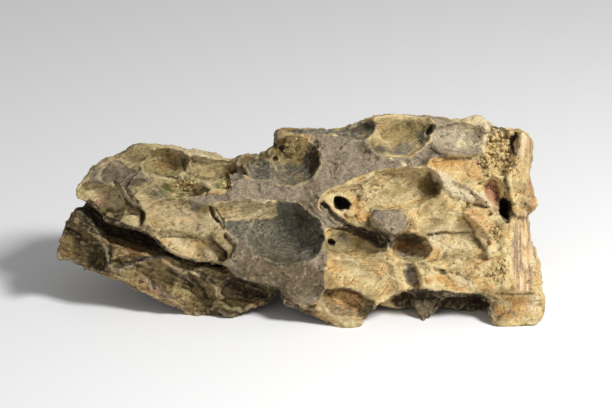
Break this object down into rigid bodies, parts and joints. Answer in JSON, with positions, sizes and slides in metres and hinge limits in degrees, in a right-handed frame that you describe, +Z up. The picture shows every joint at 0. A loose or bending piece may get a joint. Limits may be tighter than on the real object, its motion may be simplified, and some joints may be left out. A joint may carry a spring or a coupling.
{
  "type": "dragon stone",
  "caption": "Weathered clay stone with scooped hollows, plates and a deep side crevice, a long low lump that rests on its own feet.",
  "frame": {"origin": "middle of the underside of the stone's box, on the surface it rests on", "axes": "+X along the stone's length, +Z up, the broad hollowed face looks towards -Y"},
  "size_m": [0.2622, 0.1116, 0.1015],
  "materials": {
    "stone": "matte weathered clay stone, ochre and tan over a mauve-grey matrix"
  },
  "bodies": {
    "root": {"dragon_stone": "stone"}
  },
  "joints": []
}
